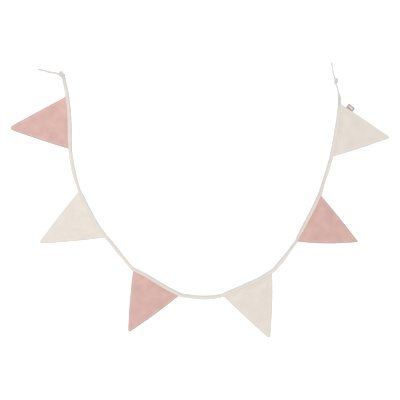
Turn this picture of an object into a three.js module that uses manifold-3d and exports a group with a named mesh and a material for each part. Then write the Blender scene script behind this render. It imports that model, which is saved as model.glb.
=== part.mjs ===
// Pennant bunting laid out face up in a wide U: six double-sided cotton pennants whose top edges
// are caught in one long folded tape, knotted near each end, with a small folded label in a seam.
// Millimetres. +Z is up, and the open side of the U faces +Y.

import * as THREE from 'three';
import * as BufferGeometryUtils from 'three/addons/utils/BufferGeometryUtils.js';
import Module from 'manifold-3d';

const wasm = await Module();
wasm.setup();

const { clamp, degToRad, lerp, smoothstep } = THREE.MathUtils;

// Cloth thicknesses, and the clearance that separate pieces keep
const CLEARANCE = 0.3;
const PANEL = 1.0;
const TAPE_LEG = 1.0;

// The tape is a strip folded lengthwise: two legs with a slot between them
const TAPE_WIDTH = 13;
const SLOT_AT_PENNANT = 2 * PANEL + 3 * CLEARANCE;
const SLOT_BETWEEN = 0.4;
const SLOT_CLOSES_OVER = 16;
const FOLD_WALL = 1.5;

// A panel's top edge sits in the slot, and past the tape it comes down to the surface
const TOP_EDGE = 2.6;
const DRAPE_START = TAPE_WIDTH + 3;
const DRAPE_END = 26;
const FOLDS_START = 24;
const FOLDS_FULL = 46;

// Seamed side edges: the turned-in allowance makes a slightly thicker band just inside the edge
const EDGE_BANDS = [0, 1.5, 6];
const EDGE_THICKNESS = [0.55, 1.15, 1.25];
const EDGE_SHARE = [0, 0.12, 0.36];
const EDGE_TURN = 0.4;
const BAND_SLACK = 0.1;
const INNER_COLUMNS = 6;

// One row for each pennant. x, y is the middle of its top, on the tape's fold line, and heading
// the tape's direction there, left end to right end. base and height are those of the full
// triangle from the fold line, lean moves its apex along the tape, tip is how far the rounded
// point stops short of it, and bowA and bowB are how far the first and second side bulge.
// fold is how far the fold line strays towards the inside of the U and tape how wide the tape
// is, each at five even places.
const PENNANTS = [
  { name: 'flag_1', cloth: 'pink', x: -423.5, y: 256.3, heading: -87.7, base: 181.1, height: 213.3,
    lean: 11.7, tip: 12.5, bowA: 1.3, bowB: 1.9, fold: [-4.9, -1.0, -0.2, -1.0, -2.1],
    tape: [12.6, 11.9, 12.8, 13.4, 12.0] },
  { name: 'flag_2', cloth: 'cream', x: -350.4, y: -44.5, heading: -61.0, base: 181.2, height: 207.8,
    lean: -1.9, tip: 7.0, bowA: 2.4, bowB: 1.7, fold: [0.8, -1.1, -2.3, -1.7, 4.5],
    tape: [9.6, 12.2, 12.6, 12.6, 11.2] },
  { name: 'flag_3', cloth: 'pink', x: -138.6, y: -263.1, heading: -30.0, base: 180.4, height: 199.9,
    lean: 2.2, tip: 4.5, bowA: 4.1, bowB: 2.7, fold: [-3.6, -1.1, -1.5, -2.0, 1.2],
    tape: [12.0, 12.2, 12.9, 12.9, 12.6] },
  { name: 'flag_4', cloth: 'cream', x: 154.0, y: -269.1, heading: 25.1, base: 187.4, height: 204.8,
    lean: -11.0, tip: 7.0, bowA: 1.9, bowB: 2.6, fold: [0.3, -1.5, -2.2, -2.6, 3.6],
    tape: [12.3, 12.4, 12.6, 12.6, 13.0] },
  { name: 'flag_5', cloth: 'pink', x: 349.8, y: -54.4, heading: 63.0, base: 178.9, height: 191.3,
    lean: 3.9, tip: 2.5, bowA: 7.6, bowB: 0.9, fold: [-2.5, -1.4, -1.8, -2.2, -0.1],
    tape: [9.4, 11.8, 12.8, 12.6, 12.4] },
  { name: 'flag_6', cloth: 'cream', x: 441.0, y: 231.7, heading: 80.8, base: 186.3, height: 188.8,
    lean: 4.3, tip: 4.0, bowA: 1.7, bowB: -0.5, fold: [0.5, -1.5, -1.7, -1.6, 0.7],
    tape: [12.4, 12.4, 12.2, 11.2, 8.8] },
];

// Free stretches of tape between neighbours: its direction as it leaves one pennant and reaches
// the next, how far it sways towards the inside, and its width a third and two thirds of the way
const STRETCHES = [
  { leave: -83, arrive: -70, sway: 0.6, early: 13.8, late: 12.5 },
  { leave: -48, arrive: -41, sway: 2.3, early: 13.0, late: 11.4 },
  { leave: -8, arrive: 12, sway: -1.5, early: 13.0, late: 13.4 },
  { leave: 44, arrive: 58, sway: 2.2, early: 14.2, late: 11.4 },
  { leave: 71, arrive: 75, sway: 0.5, early: 11.4, late: 13.0 },
];

// The tape's last rows before each knot, where it narrows: a point on the fold line, the
// direction and the width
const LEFT_END = [
  { x: -443.7, y: 403.4, heading: -82, width: 10.0 },
  { x: -442.4, y: 395.5, heading: -78, width: 11.2 },
  { x: -439.2, y: 382.2, heading: -77, width: 12.0 },
  { x: -434.6, y: 363.0, heading: -78, width: 12.8 },
];
const RIGHT_END = [
  { x: 455.8, y: 336.0, heading: 90, width: 8.8 },
  { x: 455.2, y: 347.2, heading: 104, width: 6.4 },
  { x: 452.0, y: 362.5, heading: 103, width: 4.8 },
  { x: 450.0, y: 373.5, heading: 103, width: 4.6 },
];

// Soft folds of each pennant: a ridge from one point to another, as distances along the tape
// from the pennant's middle and out from the fold line, how far it reaches and how high it rises
const FOLDS = [
  { name: 'flag_1', along: -56, out: 46, toAlong: -4, toOut: 160, reach: 13, rise: 1.7 },
  { name: 'flag_1', along: 18, out: 60, toAlong: 24, toOut: 120, reach: 20, rise: 0.9 },
  { name: 'flag_2', along: 62, out: 36, toAlong: 36, toOut: 84, reach: 14, rise: 1.4 },
  { name: 'flag_2', along: -18, out: 60, toAlong: -6, toOut: 150, reach: 18, rise: 0.8 },
  { name: 'flag_3', along: 14, out: 32, toAlong: -6, toOut: 84, reach: 13, rise: 1.6 },
  { name: 'flag_3', along: -42, out: 38, toAlong: -32, toOut: 80, reach: 14, rise: 1.0 },
  { name: 'flag_3', along: 54, out: 34, toAlong: 26, toOut: 100, reach: 13, rise: 0.9 },
  { name: 'flag_4', along: 26, out: 36, toAlong: 8, toOut: 112, reach: 14, rise: 1.2 },
  { name: 'flag_4', along: -38, out: 42, toAlong: -16, toOut: 104, reach: 18, rise: 0.8 },
  { name: 'flag_5', along: 46, out: 30, toAlong: 6, toOut: 96, reach: 15, rise: 1.5 },
  { name: 'flag_5', along: -42, out: 36, toAlong: -18, toOut: 92, reach: 17, rise: 1.0 },
  { name: 'flag_6', along: 24, out: 38, toAlong: 44, toOut: 72, reach: 13, rise: 1.3 },
  { name: 'flag_6', along: -42, out: 40, toAlong: -18, toOut: 96, reach: 17, rise: 0.8 },
  { name: 'flag_6', along: -6, out: 118, toAlong: 4, toOut: 166, reach: 10, rise: 0.8 },
];

// Overhand knots: the centre, the size of the loops, the turn of the whole knot and its strand
const LEFT_KNOT = { x: -456.6, y: 412.6, loop: 3.3, turn: -45, lift: 1.5, width: 6.2, height: 3.8 };
const RIGHT_KNOT = { x: 448.1, y: 393.8, loop: 2.5, turn: -90, lift: 1.2, width: 4.6, height: 2.8 };
const KNOT_OPEN = 0.69;
const KNOT_ARCS = 3;
const KNOT_STEPS = 7;

// Free ends past the knots: points along the middle, then the widths at knot and tip
const LEFT_TAIL = { width: 7.0, tipWidth: 4.4, height: 2.4,
  points: [[-467.5, 415.5], [-478.0, 419.3], [-501.0, 423.0], [-516.5, 427.6], [-534.0, 430.8]] };
const RIGHT_TAIL = { width: 5.2, tipWidth: 3.8, height: 2.0,
  points: [[445.0, 402.5], [442.8, 409.0], [438.6, 424.5], [433.8, 453.5]] };

// The label: its middle where it shows beyond the seam, direction, size and hidden seam part
const LABEL = { x: 497.0, y: 304.6, heading: -40.2, length: 25, shows: 14, caught: 3,
  leg: 0.5, slot: 0.3 };
const LABEL_THICKNESS = 2 * LABEL.leg + LABEL.slot;
const PARTING = { name: 'flag_6', from: 26, to: 53, fade: 6, depth: 6,
  rise: LABEL_THICKNESS + CLEARANCE };

// A smooth run through evenly spaced values, t from 0 to 1
function through(values, t) {
  const last = values.length - 1;
  const at = clamp(t, 0, 1) * last;
  const i = Math.min(Math.floor(at), last - 1);
  const u = at - i;
  const before = values[Math.max(i - 1, 0)];
  const after = values[Math.min(i + 2, last)];
  const slope0 = (values[i + 1] - before) / 2;
  const slope1 = (after - values[i]) / 2;
  const step = values[i + 1] - values[i];
  return values[i] + u * slope0 + u * u * (3 * step - 2 * slope0 - slope1)
    + u * u * u * (slope0 + slope1 - 2 * step);
}

// Unit vectors along the tape and out from its fold line towards the pennants
function axes(heading) {
  const angle = degToRad(heading);
  return {
    along: new THREE.Vector2(Math.cos(angle), Math.sin(angle)),
    out: new THREE.Vector2(Math.sin(angle), -Math.cos(angle)),
  };
}

function place(pennant, along, out) {
  const unit = axes(pennant.heading);
  return new THREE.Vector2(pennant.x, pennant.y)
    .addScaledVector(unit.along, along)
    .addScaledVector(unit.out, out);
}

// How far the fold line lies inside its chord at a distance along the tape
function foldInset(pennant, along) {
  return through(pennant.fold, along / pennant.base + 0.5);
}

// The rounded point: a circle that touches both sides
function tipCircle(pennant) {
  const sideA = Math.atan2(pennant.base / 2 + pennant.lean, pennant.height);
  const sideB = Math.atan2(pennant.base / 2 - pennant.lean, pennant.height);
  const half = (sideA + sideB) / 2;
  const radius = pennant.tip / (1 / Math.sin(half) - 1);
  const back = radius / Math.sin(half);
  const tilt = (sideA - sideB) / 2;
  return {
    radius,
    along: pennant.lean - back * Math.sin(tilt),
    out: pennant.height - back * Math.cos(tilt),
    start: pennant.height - back * Math.cos(tilt) + radius * Math.sin(half),
  };
}

// Where a side lies at a distance out from the fold line: hand is -1 for the first side, 1 for
// the second
function sideAt(pennant, out, hand) {
  const tip = tipCircle(pennant);
  const share = out / pennant.height;
  const bow = hand < 0 ? pennant.bowA : pennant.bowB;
  const line = hand * pennant.base / 2 * (1 - share) + pennant.lean * share
    + hand * bow * 4 * share * (1 - share);
  if (out < tip.out) {
    return line;
  }
  const rest = Math.max(tip.radius ** 2 - (out - tip.out) ** 2, 0);
  const round = tip.along + hand * Math.sqrt(rest);
  return hand < 0 ? Math.max(line, round) : Math.min(line, round);
}

// Distances out from the fold line at which a pennant has a row of points
const NEAR_ROWS = [TOP_EDGE, 9, DRAPE_START, 22, DRAPE_END, 40, 52];
const FAR_ROWS = 6;
const TIP_ANGLES = [48, 68, 84];

function rowDepths(pennant) {
  const tip = tipCircle(pennant);
  const near = NEAR_ROWS[NEAR_ROWS.length - 1];
  const far = Array.from({ length: FAR_ROWS }, (_, i) => lerp(near, tip.start, (i + 1) / FAR_ROWS));
  const round = TIP_ANGLES.map((angle) => tip.out + tip.radius * Math.sin(degToRad(angle)));
  return [...NEAR_ROWS, ...far, ...round];
}

// A column's distance from the first side, in a row of the given width
function columnOffset(column, width) {
  const bands = EDGE_BANDS.map((band, i) => Math.min(band, EDGE_SHARE[i] * width));
  const last = 2 * bands.length + INNER_COLUMNS - 1;
  if (column < bands.length) {
    return bands[column];
  }
  if (column > last - bands.length) {
    return width - bands[last - column];
  }
  const inset = bands[bands.length - 1];
  return lerp(inset, width - inset, (column - bands.length + 1) / (INNER_COLUMNS + 1));
}

// Height of the soft folds at a point of a pennant
function foldRise(pennant, along, out) {
  let rise = 0;
  for (const fold of FOLDS.filter((row) => row.name === pennant.name)) {
    const from = new THREE.Vector3(fold.along, fold.out, 0);
    const to = new THREE.Vector3(fold.toAlong, fold.toOut, 0);
    const point = new THREE.Vector3(along, out, 0);
    const nearest = new THREE.Line3(from, to).closestPointToPoint(point, true, new THREE.Vector3());
    rise += fold.rise * Math.exp(-((nearest.distanceTo(point) / fold.reach) ** 2));
  }
  return rise * smoothstep(out, FOLDS_START, FOLDS_FULL);
}

// Room that the label takes between the two panels at its seam
function partingRise(pennant, out, fromSecondSide) {
  if (pennant.name !== PARTING.name) {
    return 0;
  }
  const enter = smoothstep(out, PARTING.from - PARTING.fade, PARTING.from);
  const leave = 1 - smoothstep(out, PARTING.to, PARTING.to + PARTING.fade);
  const inside = 1 - smoothstep(fromSecondSide, PARTING.depth, PARTING.depth + PARTING.fade);
  return PARTING.rise * enter * leave * inside;
}

// Sheet thickness by the distance from the nearest seamed edge
function sheetThickness(edge, out) {
  let thickness = PANEL;
  if (edge < EDGE_BANDS[1]) {
    thickness = lerp(EDGE_THICKNESS[0], EDGE_THICKNESS[1], edge / EDGE_BANDS[1]);
  } else if (edge < EDGE_BANDS[2] + BAND_SLACK) {
    thickness = lerp(EDGE_THICKNESS[1], EDGE_THICKNESS[2], (edge - EDGE_BANDS[1]) / EDGE_BANDS[2]);
  }
  return out > DRAPE_START ? thickness : Math.min(thickness, PANEL);
}

// One point of a panel: layer 0 is the back panel and 1 the front, and top says which face
function panelPoint(pennant, layer, top, out, column) {
  const sideA = sideAt(pennant, out, -1);
  const sideB = sideAt(pennant, out, 1);
  const offset = columnOffset(column, sideB - sideA);
  const along = sideA + offset;
  const tip = tipCircle(pennant);
  const toTip = tip.out + tip.radius * Math.sin(degToRad(TIP_ANGLES[2])) - out;
  const edge = Math.min(offset, sideB - along, toTip);
  const share = out / pennant.height;
  const spot = place(pennant, along, out - foldInset(pennant, along) * (1 - share));

  const inTape = TAPE_LEG + CLEARANCE;
  const under = inTape * (1 - smoothstep(out, DRAPE_START, DRAPE_END)) + foldRise(pennant, along, out);
  const seam = under + PANEL;
  if (layer === 0) {
    const turn = EDGE_TURN * (1 - smoothstep(edge, 0, EDGE_BANDS[1]));
    return new THREE.Vector3(spot.x, spot.y, top ? seam : under + turn);
  }
  const bottom = seam + CLEARANCE + partingRise(pennant, out, sideB - along);
  return new THREE.Vector3(spot.x, spot.y, top ? bottom + sheetThickness(edge, out) : bottom);
}

// The underside of a box gets the diagonals of its top, so that one panel nests on the other
function matchDiagonals(box) {
  const underside = box.groups[5];
  const { index } = box;
  for (let i = underside.start; i < underside.start + underside.count; i += 6) {
    const first = index.getX(i);
    const third = index.getX(i + 4);
    const fourth = index.getX(i + 2);
    index.setX(i + 2, third);
    index.setX(i + 3, first);
    index.setX(i + 4, third);
    index.setX(i + 5, fourth);
  }
}

function panelGeometry(pennant, layer) {
  const depths = rowDepths(pennant);
  const rows = depths.length - 1;
  const columns = 2 * EDGE_BANDS.length + INNER_COLUMNS - 1;
  const sheet = new THREE.BoxGeometry(columns, rows, 1, columns, rows, 1);
  matchDiagonals(sheet);
  const at = sheet.attributes.position;
  for (let i = 0; i < at.count; i++) {
    const column = Math.round(at.getX(i) + columns / 2);
    const row = Math.round(rows / 2 - at.getY(i));
    const point = panelPoint(pennant, layer, at.getZ(i) > 0, depths[row], column);
    at.setXYZ(i, point.x, point.y, point.z);
  }
  return sheet;
}

// A flat outline carried through a row of stations, each of which places its points
function loft(outline, stations, pointAt) {
  const steps = stations.length - 1;
  const body = new THREE.ExtrudeGeometry(outline, { depth: steps, steps, bevelEnabled: false });
  const at = body.attributes.position;
  for (let i = 0; i < at.count; i++) {
    const station = stations[steps - Math.round(at.getZ(i))];
    const point = pointAt(station, at.getX(i), at.getY(i));
    at.setXYZ(i, point.x, point.y, point.z);
  }
  return body;
}

// Outline of a folded strip: x is the share of its width from the fold, and y counts the faces
// from the underside, 0, over the slot, 1 to 2, to the top, 3
const SLOT_END = FOLD_WALL / TAPE_WIDTH;
const FOLDED_STRIP = new THREE.Shape([
  [0.07, 0], [0.97, 0], [1, 0.3], [1, 0.75], [0.97, 1], [SLOT_END, 1],
  [SLOT_END, 2], [0.97, 2], [1, 2.25], [1, 2.7], [0.97, 3], [0.07, 3],
  [0, 2.2], [0, 0.8],
].map(([x, y]) => new THREE.Vector2(x, y)));

function stripPoint(station, share, level) {
  const { out } = axes(station.heading);
  const slot = clamp(level - 1, 0, 1) * station.slot;
  const legs = (clamp(level, 0, 1) + clamp(level - 2, 0, 1)) * station.leg;
  return new THREE.Vector3(
    station.x + out.x * share * station.width,
    station.y + out.y * share * station.width,
    station.z + slot + legs,
  );
}

// The tape's stations over one pennant, on the fold line
const PENNANT_STEPS = 8;

function pennantStations(pennant) {
  return Array.from({ length: PENNANT_STEPS + 1 }, (_, i) => {
    const along = pennant.base * (i / PENNANT_STEPS - 0.5);
    const spot = place(pennant, along, -foldInset(pennant, along));
    const reach = pennant.base / PENNANT_STEPS;
    const change = foldInset(pennant, along + reach / 2) - foldInset(pennant, along - reach / 2);
    const turn = THREE.MathUtils.radToDeg(Math.atan2(change, reach));
    return { x: spot.x, y: spot.y, z: 0, heading: pennant.heading + turn,
      width: through(pennant.tape, i / PENNANT_STEPS), slot: SLOT_AT_PENNANT, leg: TAPE_LEG };
  });
}

// The tape's stations in the free stretch between two pennants, the ends left out
const STRETCH_STEPS = 7;

function stretchStations(from, to, stretch) {
  const distance = Math.hypot(to.x - from.x, to.y - from.y);
  const leave = axes(stretch.leave).along;
  const arrive = axes(stretch.arrive).along;
  const third = distance / 3;
  const inward = new THREE.Vector2(from.y - to.y, to.x - from.x).normalize();
  const curve = new THREE.CubicBezierCurve(
    new THREE.Vector2(from.x, from.y),
    new THREE.Vector2(from.x, from.y).addScaledVector(leave, third)
      .addScaledVector(inward, stretch.sway),
    new THREE.Vector2(to.x, to.y).addScaledVector(arrive, -third)
      .addScaledVector(inward, stretch.sway),
    new THREE.Vector2(to.x, to.y),
  );
  return Array.from({ length: STRETCH_STEPS - 1 }, (_, i) => {
    const t = (i + 1) / STRETCH_STEPS;
    const spot = curve.getPoint(t);
    const tangent = curve.getTangent(t);
    const fromPennant = Math.min(t, 1 - t) * distance;
    return {
      x: spot.x,
      y: spot.y,
      z: 0,
      heading: THREE.MathUtils.radToDeg(Math.atan2(tangent.y, tangent.x)),
      width: through([from.width, stretch.early, stretch.late, to.width], t),
      slot: lerp(SLOT_AT_PENNANT, SLOT_BETWEEN, smoothstep(fromPennant, 0, SLOT_CLOSES_OVER)),
      leg: TAPE_LEG,
    };
  });
}

function endStations(rows) {
  return rows.map((row) => ({ ...row, z: 0, slot: SLOT_BETWEEN, leg: TAPE_LEG }));
}

function tapeStations() {
  const stations = endStations(LEFT_END);
  PENNANTS.forEach((pennant, i) => {
    const over = pennantStations(pennant);
    if (i > 0) {
      stations.push(...stretchStations(stations[stations.length - 1], over[0], STRETCHES[i - 1]));
    }
    stations.push(...over);
  });
  return [...stations, ...endStations(RIGHT_END)];
}

// A rolled-up strand: an eight-sided outline with a flat underside, and how far along its curve
// it looks ahead and behind for its direction
const STRAND_LOOK = 0.02;
const STRAND = new THREE.Shape(Array.from({ length: 8 }, (_, i) => {
  const angle = (i + 0.5) * Math.PI / 4;
  const corner = 1 / Math.cos(Math.PI / 8);
  return new THREE.Vector2(Math.cos(angle) * corner, Math.sin(angle) * corner);
}));

function strandPoint(station, across, up) {
  return new THREE.Vector3(
    station.x + station.outX * across * station.width / 2,
    station.y + station.outY * across * station.width / 2,
    station.z + up * station.height / 2,
  );
}

function strand(curve, steps, width, tipWidth, height) {
  const stations = Array.from({ length: steps + 1 }, (_, i) => {
    const t = i / steps;
    const spot = curve.getPoint(t);
    const ahead = curve.getPoint(Math.min(t + STRAND_LOOK, 1));
    const behind = curve.getPoint(Math.max(t - STRAND_LOOK, 0));
    const heading = new THREE.Vector2(ahead.x - behind.x, ahead.y - behind.y).normalize();
    return { x: spot.x, y: spot.y, z: Math.max(spot.z, height / 2), outX: heading.y,
      outY: -heading.x, width: lerp(width, tipWidth, t), height };
  });
  return loft(STRAND, stations, strandPoint);
}

// The path of an overhand knot: three lobes with the ends leaving side by side
class OverhandPath extends THREE.Curve {
  constructor(knot, from, to) {
    super();
    Object.assign(this, { knot, from, to });
  }

  getPoint(t, target = new THREE.Vector3()) {
    const { knot } = this;
    const angle = lerp(this.from, this.to, t);
    const flat = new THREE.Vector2(
      Math.sin(angle) + 2 * Math.sin(2 * angle),
      Math.cos(angle) - 2 * Math.cos(2 * angle),
    ).multiplyScalar(knot.loop).rotateAround(new THREE.Vector2(), degToRad(knot.turn));
    const middle = knot.lift + knot.height / 2;
    return target.set(knot.x + flat.x, knot.y + flat.y, middle - knot.lift * Math.sin(3 * angle));
  }
}

const KNOT_FROM = Math.PI + KNOT_OPEN;
const KNOT_TO = 3 * Math.PI - KNOT_OPEN;
const KNOT_OVERLAP = 0.06;

function knotBodies(knot) {
  return Array.from({ length: KNOT_ARCS }, (_, i) => {
    const from = lerp(KNOT_FROM, KNOT_TO, i / KNOT_ARCS) - KNOT_OVERLAP;
    const to = lerp(KNOT_FROM, KNOT_TO, (i + 1) / KNOT_ARCS) + KNOT_OVERLAP;
    return strand(new OverhandPath(knot, from, to), KNOT_STEPS, knot.width, knot.width, knot.height);
  });
}

// The strands from the tape's narrow end into its knot and from the knot to the free end. inward
// is 1 where the tape runs away from the knot and -1 where it runs towards it.
const LEAD_IN_TAPE = 5;
const LEAD_REACH = 3;
const LEAD_STEPS = 8;
const LEAD_END = 0.02;
const TAIL_STEPS = 18;
const TAIL_IN_KNOT = 0.96;

function leadBody(knot, tapeEnd, inward) {
  const path = new OverhandPath(knot, KNOT_FROM, KNOT_TO);
  const unit = axes(tapeEnd.heading);
  const fromTape = (inside) => new THREE.Vector3(
    tapeEnd.x + unit.out.x * tapeEnd.width / 2 + unit.along.x * inward * inside,
    tapeEnd.y + unit.out.y * tapeEnd.width / 2 + unit.along.y * inward * inside,
    knot.height / 2,
  );
  const start = path.getPoint(0);
  const before = start.clone().addScaledVector(path.getTangent(0), -LEAD_REACH);
  const curve = new THREE.CubicBezierCurve3(
    fromTape(LEAD_IN_TAPE), fromTape(-LEAD_REACH), before, path.getPoint(LEAD_END),
  );
  return strand(curve, LEAD_STEPS, knot.width, knot.width, knot.height);
}

function tailBody(knot, tail) {
  const end = new OverhandPath(knot, KNOT_FROM, KNOT_TO);
  const low = tail.height / 2;
  const onSurface = tail.points.map(([x, y]) => new THREE.Vector3(x, y, low));
  const fromKnot = [end.getPoint(TAIL_IN_KNOT), end.getPoint(1)];
  const curve = new THREE.CatmullRomCurve3([...fromKnot, ...onSurface]);
  return strand(curve, TAIL_STEPS, tail.width, tail.tipWidth, tail.height);
}

// Joining with manifold: a closed geometry becomes a solid, and the union comes back as one
function toSolid(geometry) {
  const bare = geometry.clone();
  bare.deleteAttribute('normal');
  bare.deleteAttribute('uv');
  const merged = BufferGeometryUtils.mergeVertices(bare, 1e-4);
  const vertProperties = new Float32Array(merged.attributes.position.array);
  const triVerts = new Uint32Array(merged.index.array);
  return new wasm.Manifold(new wasm.Mesh({ numProp: 3, vertProperties, triVerts }));
}

function toGeometry(solid) {
  const mesh = solid.getMesh();
  const geometry = new THREE.BufferGeometry();
  geometry.setAttribute('position', new THREE.BufferAttribute(mesh.vertProperties, 3));
  geometry.setIndex(new THREE.BufferAttribute(mesh.triVerts, 1));
  geometry.computeVertexNormals();
  return geometry;
}

function tapeGeometry() {
  const parts = [
    ...knotBodies(LEFT_KNOT),
    leadBody(LEFT_KNOT, LEFT_END[0], 1),
    tailBody(LEFT_KNOT, LEFT_TAIL),
    ...knotBodies(RIGHT_KNOT),
    leadBody(RIGHT_KNOT, RIGHT_END[RIGHT_END.length - 1], -1),
    tailBody(RIGHT_KNOT, RIGHT_TAIL),
  ];
  const strip = toSolid(loft(FOLDED_STRIP, tapeStations(), stripPoint));
  return toGeometry(parts.reduce((whole, part) => whole.add(toSolid(part)), strip));
}

// The label is a short strip folded once: the fold shows, and its ends are caught in the seam
function labelGeometry() {
  const { along, out } = axes(LABEL.heading);
  const stations = [-0.5, 0, 0.5].map((share) => ({
    x: LABEL.x + along.x * LABEL.length * share - out.x * LABEL.shows / 2,
    y: LABEL.y + along.y * LABEL.length * share - out.y * LABEL.shows / 2,
    z: PANEL + CLEARANCE,
    heading: LABEL.heading,
    width: LABEL.shows + LABEL.caught,
    slot: LABEL.slot,
    leg: LABEL.leg,
  }));
  return loft(FOLDED_STRIP, stations, stripPoint);
}

const pinkCotton = new THREE.MeshStandardMaterial({ color: 0xdcb8af, roughness: 0.9, metalness: 0 });
const creamCotton = new THREE.MeshStandardMaterial({ color: 0xe7ded1, roughness: 0.9, metalness: 0 });
const tapeCotton = new THREE.MeshStandardMaterial({ color: 0xe5dfd8, roughness: 0.9, metalness: 0 });
const labelWeave = new THREE.MeshStandardMaterial({ color: 0xc4a9ab, roughness: 0.7, metalness: 0 });

const group = new THREE.Group();

function addPiece(name, geometry, material) {
  const piece = new THREE.Mesh(geometry, material);
  piece.name = name;
  group.add(piece);
}

addPiece('tape', tapeGeometry(), tapeCotton);
for (const pennant of PENNANTS) {
  const cotton = pennant.cloth === 'pink' ? pinkCotton : creamCotton;
  addPiece(`${pennant.name}_back`, panelGeometry(pennant, 0), cotton);
  addPiece(`${pennant.name}_front`, panelGeometry(pennant, 1), cotton);
}
addPiece('label', labelGeometry(), labelWeave);

// The origin is the middle of the whole, on the surface it lies on
const extent = new THREE.Box3().setFromObject(group);
const centre = extent.getCenter(new THREE.Vector3());
group.position.set(-centre.x, -centre.y, -extent.min.z);

export default group;
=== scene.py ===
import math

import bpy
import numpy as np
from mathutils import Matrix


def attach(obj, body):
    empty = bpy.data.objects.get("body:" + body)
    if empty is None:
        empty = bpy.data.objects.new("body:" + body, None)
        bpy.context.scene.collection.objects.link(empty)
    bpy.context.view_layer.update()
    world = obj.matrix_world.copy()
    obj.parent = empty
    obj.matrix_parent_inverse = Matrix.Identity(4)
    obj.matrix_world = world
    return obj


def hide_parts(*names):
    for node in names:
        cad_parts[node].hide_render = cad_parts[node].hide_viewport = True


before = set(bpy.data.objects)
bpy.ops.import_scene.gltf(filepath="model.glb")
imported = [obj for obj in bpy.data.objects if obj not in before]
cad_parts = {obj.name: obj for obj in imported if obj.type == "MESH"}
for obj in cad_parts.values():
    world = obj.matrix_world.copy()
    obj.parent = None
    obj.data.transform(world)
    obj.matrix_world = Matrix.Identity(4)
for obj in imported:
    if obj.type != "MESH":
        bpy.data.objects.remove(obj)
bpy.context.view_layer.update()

# Pennant bunting laid out face up in a wide U: six double-sided cotton pennants whose top edges
# are caught in one long folded tape, knotted near each end, with a small folded label in a seam.
# The tables are in millimetres, in the frame's own axes, and MM turns them into metres.

MM = 0.001

# Cloth thicknesses as they look, and the room that the solids keep
PANEL_CLOTH = 0.6
TAPE_CLOTH = 0.4
LABEL_CLOTH = 0.35
PANEL_ROOM = 1.0
CLEARANCE = 0.3
TAPE_LEG = 1.0
TAPE_WIDTH = 13.0
SLOT_AT_PENNANT = 2 * PANEL_ROOM + 3 * CLEARANCE
SLOT_BETWEEN = 0.4
SLOT_CLOSES_OVER = 16.0

# A panel's top edge sits in the tape, and past the tape it comes down to the surface
TOP_EDGE = 2.6
DRAPE_START = TAPE_WIDTH + 3
DRAPE_END = 26
FOLDS_START = 24.0
FOLDS_FULL = 46.0

# One row for each pennant. x, y is the middle of its top, on the tape's fold line, and heading
# the tape's direction there, left end to right end. base and height are those of the full
# triangle from the fold line, lean moves its apex along the tape, tip is how far the rounded
# point stops short of it, and bow_a and bow_b are how far the first and second side bulge.
# fold is how far the fold line strays towards the inside of the U and tape how wide the tape
# is, each at five even places, and tone a painted light and shade that makes the cloth a
# little lighter or darker than the others of its colour.
PENNANTS = [
    dict(name="flag_1", cloth="pink", x=-423.5, y=256.3, heading=-87.7, base=181.1, height=213.3,
         lean=11.7, tip=12.5, bow_a=1.3, bow_b=1.9, fold=[-4.9, -1.0, -0.2, -1.0, -2.1],
         tape=[12.6, 11.9, 12.8, 13.4, 12.0], tone=0.970),
    dict(name="flag_2", cloth="cream", x=-350.4, y=-44.5, heading=-61.0, base=181.2, height=207.8,
         lean=-1.9, tip=7.0, bow_a=2.4, bow_b=1.7, fold=[0.8, -1.1, -2.3, -1.7, 4.5],
         tape=[9.6, 12.2, 12.6, 12.6, 11.2], tone=0.965),
    dict(name="flag_3", cloth="pink", x=-138.6, y=-263.1, heading=-30.0, base=180.4, height=199.9,
         lean=2.2, tip=4.5, bow_a=4.1, bow_b=2.7, fold=[-3.6, -1.1, -1.5, -2.0, 1.2],
         tape=[12.0, 12.2, 12.9, 12.9, 12.6], tone=0.946),
    dict(name="flag_4", cloth="cream", x=154.0, y=-269.1, heading=25.1, base=187.4, height=204.8,
         lean=-11.0, tip=7.0, bow_a=1.9, bow_b=2.6, fold=[0.3, -1.5, -2.2, -2.6, 3.6],
         tape=[12.3, 12.4, 12.6, 12.6, 13.0], tone=0.952),
    dict(name="flag_5", cloth="pink", x=349.8, y=-54.4, heading=63.0, base=178.9, height=191.3,
         lean=3.9, tip=2.5, bow_a=7.6, bow_b=0.9, fold=[-2.5, -1.4, -1.8, -2.2, -0.1],
         tape=[9.4, 11.8, 12.8, 12.6, 12.4], tone=0.930),
    dict(name="flag_6", cloth="cream", x=441.0, y=231.7, heading=80.8, base=186.3, height=188.8,
         lean=4.3, tip=4.0, bow_a=1.7, bow_b=-0.5, fold=[0.5, -1.5, -1.7, -1.6, 0.7],
         tape=[12.4, 12.4, 12.2, 11.2, 8.8], tone=0.938),
]

# Free stretches of tape between neighbours: its direction as it leaves one pennant and reaches
# the next, how far it sways towards the inside, and its width a third and two thirds of the way
STRETCHES = [
    dict(leave=-83, arrive=-70, sway=0.6, early=13.8, late=12.5),
    dict(leave=-48, arrive=-41, sway=2.3, early=13.0, late=11.4),
    dict(leave=-8, arrive=12, sway=-1.5, early=13.0, late=13.4),
    dict(leave=44, arrive=58, sway=2.2, early=14.2, late=11.4),
    dict(leave=71, arrive=75, sway=0.5, early=11.4, late=13.0),
]

# The tape's last rows before each knot, where it narrows: a point on the fold line, the
# direction, the width and how far it is gathered
LEFT_END = [
    dict(x=-443.7, y=403.4, heading=-82, width=10.0, gather=0.9),
    dict(x=-442.4, y=395.5, heading=-78, width=11.2, gather=0.8),
    dict(x=-439.2, y=382.2, heading=-77, width=12.0, gather=0.6),
    dict(x=-434.6, y=363.0, heading=-78, width=12.8, gather=0.3),
]
RIGHT_END = [
    dict(x=455.8, y=336.0, heading=90, width=8.8, gather=0.8),
    dict(x=455.2, y=347.2, heading=104, width=6.4, gather=0.8),
    dict(x=452.0, y=362.5, heading=103, width=4.8, gather=0.7),
    dict(x=450.0, y=373.5, heading=103, width=4.6, gather=0.7),
]

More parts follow.
